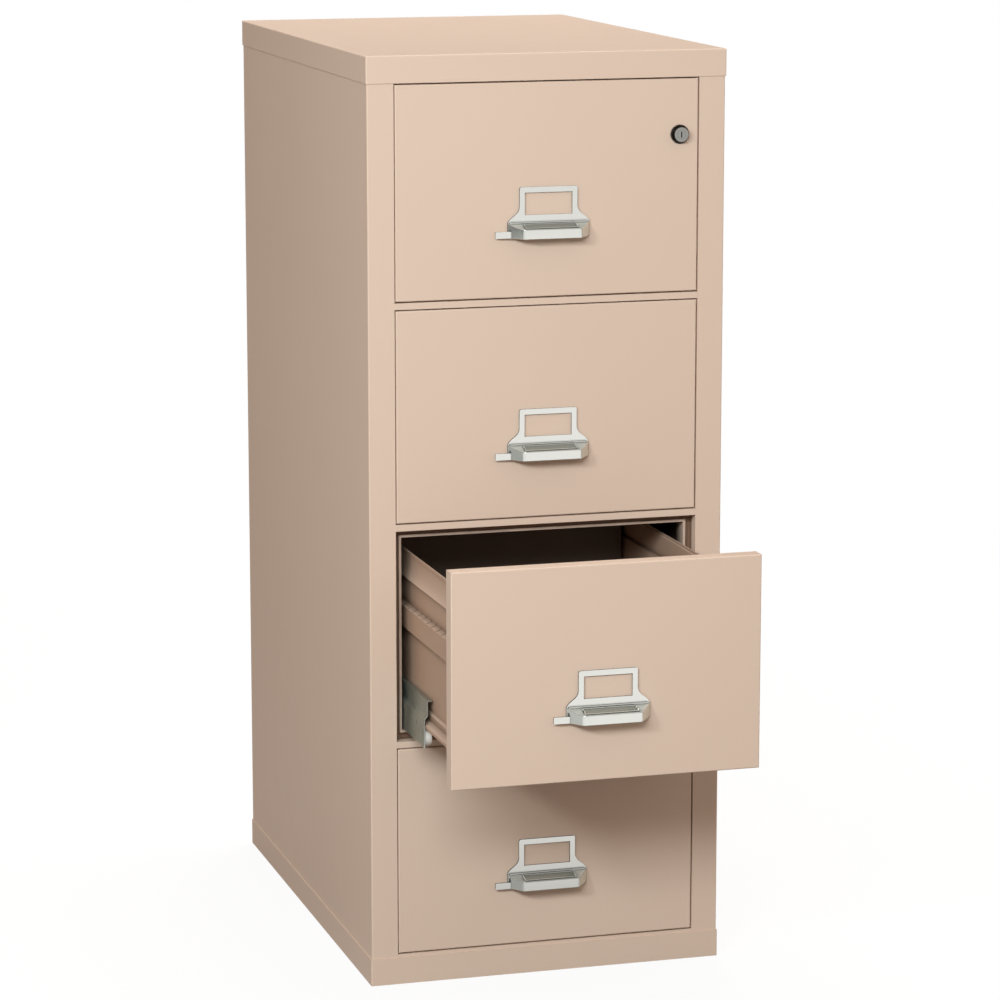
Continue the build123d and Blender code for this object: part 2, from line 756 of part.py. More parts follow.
os.makedirs("parts", exist_ok=True)
make_top_cap()
make_base_plinth()
make_casing_wrapper()
make_frame_rails()
make_back_panel()
make_insulation_core()
make_cavity_linings()
make_seal_channels()
make_slide_tracks()
make_glide_pads()
make_back_screws()
for number in range(1, drawer_count + 1):
    out = drawers_out[number - 1]
    low = opening_bottom(number)
    middle = low + opening_height / 2
    drawer_y = face - out
    rail_y = face - out / 2
    make_drawer_front(number, drawer_y, low)
    make_head_core(number, drawer_y, low)
    make_drawer_tray(number, drawer_y, low)
    make_drawer_sides(number, drawer_y, low)
    make_handle(number, drawer_y, middle)
    make_thumb_latch(number, drawer_y, middle)
    make_follower_block(number, drawer_y, low)
    make_slide_rails(number, rail_y, low)
    make_rollers(
        f"rail_rollers_{number}", roller_x, roller_width,
        rail_y + rail_start + roller_inset, low + roller_axis_height, roller_diameter,
    )
    make_rollers(
        f"track_rollers_{number}", rail_outer - rail_jog + fit_gap, track_roller_width,
        rail_y + rail_start + rail_length - roller_inset, low + track_axis_height,
        track_roller_diameter,
    )
    make_rollers(
        f"drawer_rollers_{number}", roller_x, rear_roller_width,
        drawer_y + head_depth + rear_roller_reach, low + rear_axis_height, rear_roller_diameter,
    )
make_lock(face - drawers_out[0])
make_lock_bar()
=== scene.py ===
"""Fireproof filing cabinet: finishes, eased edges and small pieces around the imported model."""

import json
import math

import bmesh
import bpy
from bpy.props import FloatProperty, FloatVectorProperty, IntProperty, PointerProperty
from bpy.types import Operator, Panel, PropertyGroup
from mathutils import Euler, Matrix, Vector

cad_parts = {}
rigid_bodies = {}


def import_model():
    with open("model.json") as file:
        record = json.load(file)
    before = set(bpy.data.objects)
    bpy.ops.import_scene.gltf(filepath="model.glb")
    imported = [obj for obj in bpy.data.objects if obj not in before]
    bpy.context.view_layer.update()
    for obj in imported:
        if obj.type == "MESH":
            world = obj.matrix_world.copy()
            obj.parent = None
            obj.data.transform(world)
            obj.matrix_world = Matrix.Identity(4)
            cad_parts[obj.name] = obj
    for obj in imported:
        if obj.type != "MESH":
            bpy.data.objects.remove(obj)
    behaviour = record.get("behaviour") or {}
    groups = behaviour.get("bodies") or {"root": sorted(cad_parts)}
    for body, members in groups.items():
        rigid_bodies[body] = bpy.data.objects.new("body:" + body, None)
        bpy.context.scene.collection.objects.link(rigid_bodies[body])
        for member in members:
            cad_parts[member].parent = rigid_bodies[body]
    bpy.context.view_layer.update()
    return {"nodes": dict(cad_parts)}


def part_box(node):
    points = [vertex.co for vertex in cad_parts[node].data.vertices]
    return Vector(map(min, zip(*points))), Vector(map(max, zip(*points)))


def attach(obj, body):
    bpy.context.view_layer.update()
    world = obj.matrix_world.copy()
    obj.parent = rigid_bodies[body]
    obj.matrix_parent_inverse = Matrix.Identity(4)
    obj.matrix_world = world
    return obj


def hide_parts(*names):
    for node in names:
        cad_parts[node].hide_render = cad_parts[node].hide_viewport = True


bl_info = {
    "name": "Fireproof filing cabinet",
    "version": (1, 0, 0),
    "blender": (4, 5, 0),
    "location": "3D View > Sidebar > Cabinet",
    "description": "Dresses the packed filing cabinet and lights it in a plain studio",
    "category": "Object",
}

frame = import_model()

DRAWERS = (1, 2, 3, 4)
MERGE_DISTANCE = 1e-5
PLACE_DIGITS = 6
FLAT_ANGLE = math.radians(0.05)
SHARP_ANGLE = math.radians(30)
EDGE_SEGMENTS = 3
FLOAT = "NodeSocketFloat"
COLOUR = "NodeSocketColor"
WHITE = (1, 1, 1)

# The hood's slope, as Y and Z from the pull's lowest corner
SLOPE_FOOT = (0.0235, 0.0211)
SLOPE_FRONT = (0.0015, 0.0142)
SLOT_MARGIN = 0.0048
ROLL_SEGMENTS = 24

# Rollers and rivets
AXLE_BORE = 0.0062
RIM_STEPS = 3
RIVET_SEGMENTS = 24
RIVET_TAPER = 0.8  # a head's flat top, as a share of its diameter
RIVET_STEP = 1.6  # rise from the axle to the second rivet, in diameters

# Back screws, with the head's profile as shares of its radius and height
SCREW_SEED = 7
SCREW_STEPS = 32
SCREW_TIP = 0.6  # the tip's radius and the length of its taper, in shank radii
HEAD_TO_SHANK = 2.25
HEAD_PROFILE = ((0.97, 0.0), (1.0, 0.25), (0.9, 0.75), (0.72, 1.0))
RECESS_MOUTH = (0.55, 0.2)  # reach of the arms and of the waist, in head radii
RECESS_FLOOR = (0.42, 0.14)
RECESS_SHARPNESS = 6

# Lights: name, power's setting, place, aim, width and height
MIDDLE = (0, -0.4, 0.7)
LIGHTS = (
    ("Key", "key_power", (-1.65, -3.7, 2.4), MIDDLE, 2.0, 0.75),
    ("Side", "side_power", (-3.2, -3.2, 2.6), MIDDLE, 0.6, 0.4),
    ("Top", "top_power", (0.2, 0.75, 4.0), (0.2, 0.75, 0), 1.2, 0.8),
    ("Back", "back_power", (1.6, 4.0, 1.1), MIDDLE, 2.5, 1.5),
    ("Right", "right_power", (4.2, 0.5, 1.2), (0, 0.5, 0.7), 2.0, 1.2),
)
COOL_LIGHTS = {"Key", "Side"}
SENSOR_WIDTH = 36

# What gloss mirrors, as stops of position and level
SKY_BANDS = (
    (0.0, 0.9), (0.5, 0.95), (0.6, 1.0), (0.66, 0.25), (0.73, 0.85), (0.78, 0.12),
    (0.86, 0.55), (0.92, 0.2), (0.97, 1.0),
)  # from below to above
SKY_FACING = ((0.3, 0.06), (0.7, 1.0))  # from behind to the front
SKY_AROUND = (
    (0.0, 0.35), (0.2, 0.6), (0.36, 0.95), (0.74, 1.0), (0.8, 0.06), (0.88, 0.06),
    (0.93, 0.34), (1.0, 0.34),
)  # from the right to the left

# Floor
FLOOR_HALF = 9.0
FLOOR_DROP = 0.0005
FLOOR_PALE = (0.88, 0.88, 0.88, 1)
FLOOR_BOUNCE = (0.16, 0.13, 0.11, 1)
FLOOR_MIRROR = ((0.1, 1.0), (0.55, 0.12))  # from 2 m before the origin to 2 m behind it
FLOOR_GLOW = ((0.2, 0.9), (0.8, 1.0))  # from the origin to GLOW_REACH
GLOW_REACH = 4.0


def srgb(red, green, blue):
    """Linear colour of three screen values from 0 to 255."""
    linear = []
    for value in (red, green, blue):
        value /= 255
        linear.append(value / 12.92 if value <= 0.04045 else ((value + 0.055) / 1.055) ** 2.4)
    return tuple(linear)


# Tints that multiply a finish's colour: a painted highlight on enamel edges, painted shade in
# folds, on castings' walls and in their corners, and a painted darker reflection on castings'
# slopes
EDGE_HIGHLIGHT = (1.12, 1.1, 1.07, 1)
FOLD_SHADE = (0.3, 0.25, 0.22, 1)
WALL_SHADE = (0.16, 0.15, 0.14, 1)
SLOPE_SHADE = (0.87, 0.9, 0.88, 1)
CORNER_SHADE = (0.1, 0.1, 0.09, 1)

# Colours laid over a finish
DUST = srgb(226, 220, 210)
SPANGLE = srgb(186, 190, 178)
# Painted highlight on the zinc's edges
ZINC_EDGE_HIGHLIGHT = srgb(222, 230, 232)
SCUFF = srgb(206, 202, 190)
FLAKE = srgb(176, 160, 132)

# How finishes follow the surface, and the tint of the enamel's gloss
WARM_SHEEN = (1, 0.87, 0.75, 1)
EDGE_SAMPLES = 4
EDGE_GAIN = 6.0  # how soon a turning surface counts as an edge
LEAST_EDGE_MARK = 0.25
DUST_FALLOFF = 4.0
SHADE_SAMPLES = 6
LEAN_LIMIT = 0.25  # lean past which a pressed panel's painted highlight grows no stronger
LEAN_GAIN = 2.2
INWARD_SHADE_REACH = 0.04
FACING_GAIN = 5.0
SLOPE_POWER = 8.0
CORNER_REACH = 0.003
CORNER_POWER = 2.0
CAST_METAL = 0.9
TOP_LOSS = 0.45  # how much less metallic a casting is on top
CAST_WAVE = 0.00004
SPANGLE_DEPTH = 0.00002
MOULD_DEPTH = 0.00004
PORE_DEPTH = 0.0004


# Settings


def colour(name, description, value):
    return FloatVectorProperty(
        name=name, description=description, subtype="COLOR", size=3, min=0, max=1,
        default=value,
    )


def length(name, description, metres):
    return FloatProperty(
        name=name, description=description, unit="LENGTH", subtype="DISTANCE", min=0,
        precision=5, default=metres,
    )


def power(name, description, watts):
    return FloatProperty(name=name, description=description, subtype="POWER", default=watts)


class CabinetColours(PropertyGroup):
    """Colours of the cabinet's finishes."""

    enamel: colour("Enamel", "Baked enamel on the casing and the fronts", srgb(216, 195, 176))
    # A darker copy of the enamel: painted shade on the drawers' bodies, which carry the same
    # enamel and get less light
    body_enamel: colour("Body enamel", "Enamel on the drawers' bodies", srgb(176, 149, 128))
    zinc: colour("Zinc", "Plated steel of the rails and the tracks", srgb(160, 170, 162))
    nylon: colour("Nylon", "Rollers and glide pads", srgb(232, 230, 222))
    chrome: colour("Chrome", "Pulls and latches", srgb(228, 228, 222))
    # Rougher than the chrome, and darker as painted shade in the slot's recess
    slot: colour("Slot", "Bottom of the slot in a pull's hood", srgb(166, 166, 158))
    lock_metal: colour("Lock metal", "Plunger and key plug of the lock", srgb(158, 156, 150))
    # Near-black painted shade that the cavities' enamel darkens to behind their mouths
    cavity_shade: colour("Cavity shade", "Thin coat deep in the cavities", srgb(26, 17, 14))
    screw: colour("Screws", "Screws in the back", srgb(168, 166, 160))
    lining: colour("Fire lining", "Poured insulation", srgb(214, 208, 196))
    # Darkened as painted shade for the unlit inside of the drawers
    divider: colour("Dividers", "Upright dividers in the drawers", srgb(84, 76, 70))
    lock_ring: colour("Lock ring", "Collar round the lock", srgb(60, 52, 46))
    # Darker than the enamel, as painted shade in the gaps round the drawers
    channel: colour("Channel", "Thin paint in the seal channels", srgb(138, 112, 93))


class CabinetSizes(PropertyGroup):
    """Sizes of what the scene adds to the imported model."""

    sheet_edge: length("Sheet edge", "Rounding of cut sheet edges", 0.00035)
    cast_edge: length("Cast edge", "Rounding of the pull's edges", 0.0008)
    roller_edge: length("Roller edge", "Rounding of a roller's rims", 0.0008)
    slot_length: length("Slot length", "Length of the slot in a pull's hood", 0.078)
    slot_rim: length("Slot rim", "Width of the raised rim round the slot", 0.0014)
    slot_depth: length("Slot depth", "Depth of the slot below its rim", 0.0009)
    roll: length("Roll", "Radius of the roll at the foot of a pull's frame", 0.0015)
    rivet: length("Rivet head", "Diameter of a rivet's head", 0.009)
    rivet_height: length("Rivet height", "Height of a rivet's head", 0.0009)
    screw_recess: length("Screw recess", "Depth of the cross recess", 0.0008)
    peel: length("Orange peel", "Depth of the enamel's waviness", 0.00003)
    roller_segments: IntProperty(
        name="Roller segments", description="Faces round a roller", min=16, max=96, default=48,
    )


class CabinetStudio(PropertyGroup):
    """Camera and light of the studio."""

    lens: FloatProperty(name="Lens", description="Focal length in mm", min=20, default=138)
    camera_place: FloatVectorProperty(
        name="Camera", description="Place of the camera", subtype="TRANSLATION", size=3,
        default=(-1.574, -5.544, 1.734),
    )
    yaw: FloatProperty(
        name="Yaw", description="Turn to the right", subtype="ANGLE",
        default=math.radians(16.27),
    )
    pitch: FloatProperty(
        name="Pitch", description="Tilt down", subtype="ANGLE", default=math.radians(10.85),
    )
    key_power: power("Key", "Power of the key light, in watts", 96)
    key_colour: colour("Key colour", "A trace cooler than the surroundings", (0.89, 0.95, 0.99))
    top_power: power("Top", "Power of the overhead light, in watts", 61)
    back_power: power("Back", "Power of the rear light, in watts", 60)
    side_power: power("Side", "Power of the left light, in watts", 58)
    right_power: power("Right", "Power of the right light, in watts", 52)
    ambient: FloatProperty(
        name="Ambient", description="Strength of the surrounding light", default=0.58,
    )
    ambient_colour: colour("Ambient colour", "Warmer than the key", (1.0, 0.835, 0.75))


# Nodes


def add_nodes(tree, *kinds):
    return [tree.nodes.new(kind) for kind in kinds]


def connect(tree, *pairs):
    for start, end in pairs:
        tree.links.new(start, end)


def feed(tree, value, socket):
    """Links a socket's output into a socket, or sets it to a plain value."""
    if hasattr(value, "is_linked"):
        tree.links.new(value, socket)
    elif value is not None:
        socket.default_value = value


def math_node(tree, operation, first, second=None):
    node = tree.nodes.new("ShaderNodeMath")
    node.operation = operation
    feed(tree, first, node.inputs[0])
    feed(tree, second, node.inputs[1])
    return node.outputs[0]


def mix_colours(tree, factor, first, second, blend="MIX"):
    """Mixes two colours; each input is a socket or a value."""
    node = tree.nodes.new("ShaderNodeMix")
    node.data_type = "RGBA"
    node.blend_type = blend
    for index, value in ((0, factor), (6, first), (7, second)):
        feed(tree, value, node.inputs[index])
    return node.outputs[2]


def tinted(tree, base, tint):
    return mix_colours(tree, 1.0, base, tint, "MULTIPLY")


def coordinates(tree, kind="Object"):
    return tree.nodes.new("ShaderNodeTexCoord").outputs[kind]


def axes(tree, vector):
    """The X, Y and Z of a vector."""
    split = tree.nodes.new("ShaderNodeSeparateXYZ")
    tree.links.new(vector, split.inputs[0])
    return split.outputs


def normal_axes(tree):
    return axes(tree, tree.nodes.new("ShaderNodeNewGeometry").outputs["Normal"])


def upward(tree, normal):
    """How far the surface looks up: 1 on level faces, 0 on walls and undersides."""
    return math_node(tree, "MAXIMUM", normal["Z"], 0.0)


def noise(tree, scale, detail, roughness=0.5):
    """Noise on Object coordinates, from 0 to 1."""
    texture = tree.nodes.new("ShaderNodeTexNoise")
    for name, value in (("Vector", coordinates(tree)), ("Scale", scale), ("Detail", detail),
                        ("Roughness", roughness)):
        feed(tree, value, texture.inputs[name])
    return texture.outputs["Fac"]


def cells(tree, scale):
    """Cells on Object coordinates."""
    texture = tree.nodes.new("ShaderNodeTexVoronoi")
    feed(tree, coordinates(tree), texture.inputs["Vector"])
    feed(tree, scale, texture.inputs["Scale"])
    return texture.outputs


# Shader groups


def new_group(name, inputs, outputs):
    """A shader group with named sockets, and its input and output nodes."""
    tree = bpy.data.node_groups.new(name, "ShaderNodeTree")
    for label, kind, value in inputs:
        socket = tree.interface.new_socket(name=label, in_out="INPUT", socket_type=kind)
        if value is not None:
            socket.default_value = value
    for label, kind in outputs:
        tree.interface.new_socket(name=label, in_out="OUTPUT", socket_type=kind)
    source, result = add_nodes(tree, "NodeGroupInput", "NodeGroupOutput")
    return tree, source.outputs, result.inputs


def drift_group(name):
    """Slow change of a colour over a surface."""
    tree, source, result = new_group(
        name, [("Colour", COLOUR, None), ("Scale", FLOAT, 3.0), ("Amount", FLOAT, 0.03)],
        [("Colour", COLOUR)],
    )
    field = noise(tree, source["Scale"], detail=3.0)
    shift = math_node(tree, "MULTIPLY", math_node(tree, "SUBTRACT", field, 0.5),
                      math_node(tree, "MULTIPLY", source["Amount"], 2.0))
    scale = tree.nodes.new("ShaderNodeVectorMath")
    scale.operation = "SCALE"
    connect(tree, (source["Colour"], scale.inputs[0]),
            (math_node(tree, "ADD", shift, 1.0), scale.inputs["Scale"]),
            (scale.outputs[0], result["Colour"]))
    return tree


def grain_group(name):
    """Fine grain: a roughness that varies and a height."""
    tree, source, result = new_group(
        name, [("Scale", FLOAT, 400.0), ("Roughness", FLOAT, 0.4), ("Spread", FLOAT, 0.1)],
        [("Roughness", FLOAT), ("Height", FLOAT)],
    )
    fine = noise(tree, source["Scale"], detail=2.0)
    broad = noise(tree, scale=18.0, detail=4.0, roughness=0.6)
    centred = math_node(tree, "SUBTRACT", math_node(tree, "ADD", fine, broad), 1.0)
    rough = math_node(tree, "ADD", source["Roughness"],
                      math_node(tree, "MULTIPLY", centred, source["Spread"]))
    connect(tree, (rough, result["Roughness"]), (fine, result["Height"]))
    return tree


def edge_wear_and_highlight_group(name):
    """Where the surface turns over an edge, broken up by noise: 1 on the edge, 0 beside it. It
    places real scuffs on nylon and a painted highlight on enamel and zinc edges.
    """
    tree, source, result = new_group(
        name, [("Radius", FLOAT, 0.001), ("Amount", FLOAT, 0.5)], [("Mask", FLOAT)],
    )
    rounded, surface, compare = add_nodes(
        tree, "ShaderNodeBevel", "ShaderNodeNewGeometry", "ShaderNodeVectorMath")
    rounded.samples = EDGE_SAMPLES
    compare.operation = "DOT_PRODUCT"
    connect(tree, (source["Radius"], rounded.inputs["Radius"]),
            (rounded.outputs["Normal"], compare.inputs[0]),
            (surface.outputs["Normal"], compare.inputs[1]))
    turned = math_node(tree, "SUBTRACT", 1.0, compare.outputs["Value"])
    strong = math_node(tree, "MINIMUM", math_node(tree, "MULTIPLY", turned, EDGE_GAIN), 1.0)
    patches = math_node(tree, "ADD", noise(tree, scale=60.0, detail=3.0), LEAST_EDGE_MARK)
    mask = math_node(tree, "MULTIPLY", strong, math_node(tree, "MINIMUM", patches, 1.0))
    connect(tree, (math_node(tree, "MULTIPLY", mask, source["Amount"]), result["Mask"]))
    return tree


def dust_group(name):
    """Thin dust on faces that look up: 0 on walls, up to the amount on level faces."""
    tree, source, result = new_group(name, [("Amount", FLOAT, 0.1)], [("Mask", FLOAT)])
    level = math_node(tree, "POWER", upward(tree, normal_axes(tree)), DUST_FALLOFF)
    cloud = noise(tree, scale=9.0, detail=6.0, roughness=0.65)
    mask = math_node(tree, "MULTIPLY", level, cloud)
    connect(tree, (math_node(tree, "MULTIPLY", mask, source["Amount"]), result["Mask"]))
    return tree


def crevice_shade_group(name):
    """Painted shade where a piece's own folds shut out light: 0 in a fold, 1 on open ground."""
    tree, source, result = new_group(
        name, [("Reach", FLOAT, 0.01), ("Strength", FLOAT, 2.0)], [("Mask", FLOAT)],
    )
    folds = tree.nodes.new("ShaderNodeAmbientOcclusion")
    folds.only_local = True
    folds.samples = SHADE_SAMPLES
    connect(tree, (source["Reach"], folds.inputs["Distance"]),
            (math_node(tree, "POWER", folds.outputs["AO"], source["Strength"]),
             result["Mask"]))
    return tree


GROUPS = {
    "Colour drift": drift_group,
    "Fine grain": grain_group,
    "Edge wear": edge_wear_and_highlight_group,
    "Settled dust": dust_group,
    "Crevices": crevice_shade_group,
}


def tree_named(name, make):
    return bpy.data.node_groups.get(name) or make(name)


def place_group(tree, name, **values):
    """Puts a shared group into a material, sets its inputs and returns its outputs."""
    group = tree_named(name, GROUPS[name])
    node = tree.nodes.new("ShaderNodeGroup")
    node.node_tree = group
    for label, value in values.items():
        node.inputs[label.capitalize()].default_value = value
    return node.outputs


# Materials


def rgba(value):
    return (*value, 1.0)


def new_material(name):
    material = bpy.data.materials.new(name)
    material.use_nodes = True
    tree = material.node_tree
    return material, tree, tree.nodes["Principled BSDF"]


def dress_shader(tree, shader, base, grain, height, depth):
    """Feeds a finish's colour, its grain's roughness and a height to the shader."""
    bump = tree.nodes.new("ShaderNodeBump")
    bump.inputs["Distance"].default_value = depth
    bump.inputs["Strength"].default_value = 1.0
    connect(tree, (base, shader.inputs["Base Color"]),
            (grain["Roughness"], shader.inputs["Roughness"]),
            (height, bump.inputs["Height"]),
            (bump.outputs["Normal"], shader.inputs["Normal"]))


def base_of(material):
    """A material's tree, its base colour's socket and what feeds that."""
    tree = material.node_tree
    socket = tree.nodes["Principled BSDF"].inputs["Base Color"]
    return tree, socket, socket.links[0].from_socket


def enamel(name, base, roughness=0.42, dust=0.05):
    """Baked enamel with a fine orange peel and a painted highlight along its edges."""
    material, tree, shader = new_material(name)
    drift = place_group(tree, "Colour drift", colour=rgba(base), scale=2.5, amount=0.025)
    edge = place_group(tree, "Edge wear", radius=0.0012, amount=0.35)
    grain = place_group(tree, "Fine grain", scale=520.0, roughness=roughness, spread=0.12)
    settled = place_group(tree, "Settled dust", amount=dust)
    # Painted highlight: the enamel is lighter along its edges
    highlit_edges = mix_colours(tree, edge[0], drift[0], tinted(tree, drift[0], EDGE_HIGHLIGHT))
    dusty = mix_colours(tree, settled[0], highlit_edges, rgba(DUST))
    dress_shader(tree, shader, dusty, grain, grain["Height"],
                 bpy.context.scene.cabinet_sizes.peel)
    shader.inputs["Specular IOR Level"].default_value = 0.4
    shader.inputs["Specular Tint"].default_value = WARM_SHEEN
    return material


def pressed(name, base, raised):
    """Enamel on a pressed panel, with a painted highlight where it leans up and painted shade in
    its folds.
    """
    material = enamel(name, base, 0.46, 0.1)
    tree, socket, paint = base_of(material)
    up = math_node(tree, "MINIMUM", upward(tree, normal_axes(tree)), LEAN_LIMIT)
    lean = math_node(tree, "MULTIPLY", up, LEAN_GAIN)
    # Painted highlight: faces that lean up take the lighter enamel colour given
    lit = mix_colours(tree, lean, paint, rgba(raised))
    folds = place_group(tree, "Crevices", reach=0.014, strength=3.5)
    # Painted shade: the panel darkens in its own folds
    connect(tree, (mix_colours(tree, folds[0], tinted(tree, lit, FOLD_SHADE), lit), socket))
    return material


def shaded_inward(name, base, cavity_shade, mouth):
    """Enamel at the mouth of a cavity, which darkens behind it to a near-black painted shade."""
    material = enamel(name, base, 0.5)
    tree, socket, paint = base_of(material)
    patches = math_node(tree, "MULTIPLY", noise(tree, scale=25.0, detail=3.0),
                        INWARD_SHADE_REACH / 2)
    ragged = math_node(tree, "ADD", axes(tree, coordinates(tree))["Y"], patches)
    depth = tree.nodes.new("ShaderNodeMapRange")
    depth.inputs["From Min"].default_value = mouth
    depth.inputs["From Max"].default_value = mouth + INWARD_SHADE_REACH
    # Painted shade: the enamel darkens with depth into the cavity, along a ragged line
    connect(tree, (ragged, depth.inputs["Value"]),
            (mix_colours(tree, depth.outputs["Result"], paint, rgba(cavity_shade)), socket))
    return material


def polished(name, base, roughness=0.09):
    """Plated casting: polished to the front and back, satin on top, with painted shade on its
    side walls and in its corners and a painted darker reflection on its slopes.
    """
    material, tree, shader = new_material(name)
    plate = place_group(tree, "Colour drift", colour=rgba(base), scale=40.0, amount=0.02)[0]
    grain = place_group(tree, "Fine grain", scale=900.0, roughness=roughness, spread=0.06)
    normal = normal_axes(tree)
    facing = math_node(tree, "ABSOLUTE", normal["Y"])
    front = math_node(tree, "MINIMUM", math_node(tree, "MULTIPLY", facing, FACING_GAIN), 1.0)
    flat = math_node(tree, "POWER", facing, SLOPE_POWER)
    # Painted reflection: faces that slope away from the front are tinted darker
    sloping = mix_colours(tree, flat, tinted(tree, plate, SLOPE_SHADE), plate)
    # Painted shade: side walls are darkened to near black, which draws dark outlines
    body = mix_colours(tree, front, tinted(tree, plate, WALL_SHADE), sloping)
    # Painted shade: the casting darkens in its corners and where it meets nearby parts
    near = tree.nodes.new("ShaderNodeAmbientOcclusion")
    near.samples = SHADE_SAMPLES
    near.inputs["Distance"].default_value = CORNER_REACH
    clear = math_node(tree, "POWER", near.outputs["AO"], CORNER_POWER)
    shaded = mix_colours(tree, clear, tinted(tree, body, CORNER_SHADE), body)
    loss = math_node(tree, "MULTIPLY", upward(tree, normal), TOP_LOSS)
    connect(tree, (math_node(tree, "SUBTRACT", CAST_METAL, loss), shader.inputs["Metallic"]))
    dress_shader(tree, shader, shaded, grain, noise(tree, scale=45.0, detail=1.0), CAST_WAVE)
    return material


def plated(name, base, roughness=0.38):
    """Zinc-plated sheet with a spangle of flat crystals and a painted highlight on its edges."""
    material, tree, shader = new_material(name)
    level = tree.nodes.new("ShaderNodeSeparateColor")
    connect(tree, (cells(tree, 190.0)["Color"], level.inputs[0]))
    drift = place_group(tree, "Colour drift", colour=rgba(base), scale=12.0, amount=0.08)
    spangle = mix_colours(tree, math_node(tree, "MULTIPLY", level.outputs[0], 0.3), drift[0],
                          rgba(SPANGLE))
    grain = place_group(tree, "Fine grain", scale=300.0, roughness=roughness, spread=0.22)
    edge = place_group(tree, "Edge wear", radius=0.0012, amount=1.0)
    # Painted highlight: the zinc is lighter and bluer along its edges
    bright = mix_colours(tree, edge[0], spangle, rgba(ZINC_EDGE_HIGHLIGHT))
    dress_shader(tree, shader, bright, grain, grain["Height"], SPANGLE_DEPTH)
    shader.inputs["Metallic"].default_value = 0.85
    return material


def moulded(name, base):
    """Moulded nylon: satin, slightly uneven, with scuffs on its rims."""
    material, tree, shader = new_material(name)
    drift = place_group(tree, "Colour drift", colour=rgba(base), scale=60.0, amount=0.05)
    edge = place_group(tree, "Edge wear", radius=0.0015, amount=0.6)
    grain = place_group(tree, "Fine grain", scale=700.0, roughness=0.48, spread=0.2)
    scuffed = mix_colours(tree, edge[0], drift[0], rgba(SCUFF))
    dress_shader(tree, shader, scuffed, grain, grain["Height"], MOULD_DEPTH)
    return material


def poured(name, base):
    """Poured mineral lining: chalky, with pores and pale flakes."""
    material, tree, shader = new_material(name)
    drift = place_group(tree, "Colour drift", colour=rgba(base), scale=9.0, amount=0.1)
    grain = place_group(tree, "Fine grain", scale=140.0, roughness=0.85, spread=0.15)
    pores = cells(tree, 240.0)["Distance"]
    flaked = mix_colours(tree, math_node(tree, "MULTIPLY", pores, 0.4), drift[0],
                         rgba(FLAKE))
    dress_shader(tree, shader, flaked, grain, pores, PORE_DEPTH)
    return material


def finishes():
    """Each finish of the cabinet: how it is made and the record's slot for it."""
    colours = bpy.context.scene.cabinet_colours
    return {
        "Casing enamel": (enamel, "casing_enamel", (colours.enamel,)),
        "Drawer enamel": (enamel, "drawer_enamel", (colours.enamel,)),
        "Body enamel": (pressed, "drawer_enamel", (colours.body_enamel, colours.enamel)),
        "Lining enamel": (shaded_inward, "lining_enamel",
                          (colours.enamel, colours.cavity_shade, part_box("cavity_linings")[0].y)),
        "Channel paint": (enamel, "lining_enamel", (colours.channel, 0.6, 0.1)),
        "Chrome": (polished, "chrome_pull", (colours.chrome,)),
        "Slot metal": (polished, "chrome_pull", (colours.slot, 0.22)),
        "Zinc plate": (plated, "zinc_steel", (colours.zinc,)),
        "Nylon": (moulded, "nylon", (colours.nylon,)),
        "Screw plate": (plated, "screw_steel", (colours.screw, 0.3)),
        "Fire lining": (poured, "insulation", (colours.lining,)),
        "Divider paint": (enamel, "divider_steel", (colours.divider, 0.5, 0.1)),
        "Lock metal": (polished, "chrome_pull", (colours.lock_metal, 0.34)),
        "Lock ring": (polished, "lock_dark", (colours.lock_ring, 0.3)),
    }


def finish_named(name):
    made = bpy.data.materials.get(name)
    if made is None:
        make, _, values = finishes()[name]
        made = make(name, *values)
    return made


# Pieces


def link(name, mesh):
    piece = bpy.data.objects.new(name, mesh)
    bpy.context.scene.collection.objects.link(piece)
    return piece


def body_of(node):
    return frame["nodes"][node].parent.name.removeprefix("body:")


def node_shape(node):
    """A node's mesh with its loose triangles merged."""
    shape = bmesh.new()
    shape.from_mesh(frame["nodes"][node].data)
    bmesh.ops.remove_doubles(shape, verts=shape.verts, dist=MERGE_DISTANCE)
    return shape


def mesh_of(shape, name):
    mesh = bpy.data.meshes.new(name)
    shape.to_mesh(mesh)
    shape.free()
    return mesh


def ease_edges(piece, width):
    bevel = piece.modifiers.new("Eased edges", "BEVEL")
    bevel.width = width
    bevel.segments = EDGE_SEGMENTS
    bevel.limit_method = "ANGLE"
    bevel.angle_limit = SHARP_ANGLE
    bevel.miter_outer = "MITER_ARC"


def keep_flat(piece):
    level = piece.modifiers.new("Flat faces stay flat", "WEIGHTED_NORMAL")
    level.keep_sharp = True


def dressed(node, finish, edge):
    """Shows a copy of a node in its finish, with joined faces and eased edges."""
    shape = node_shape(node)
    # Quads, because one whole flat face can't hold a hole
    bmesh.ops.join_triangles(shape, faces=shape.faces, angle_face_threshold=FLAT_ANGLE,
                             angle_shape_threshold=math.pi)
    for face in shape.faces:
        face.smooth = True
    for corner in shape.edges:
        corner.smooth = corner.calc_face_angle(math.pi) < SHARP_ANGLE
    piece = link(f"{node}_finished", mesh_of(shape, node))
    piece.data.materials.append(finish_named(finish))
    if edge:
        ease_edges(piece, edge)
    keep_flat(piece)
    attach(piece, body_of(node))
    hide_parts(node)


def painted(node, finish):
    """Keeps a node as it is and gives it its finish."""
    piece = frame["nodes"][node]
    piece.data.materials.clear()
    piece.data.materials.append(finish_named(finish))


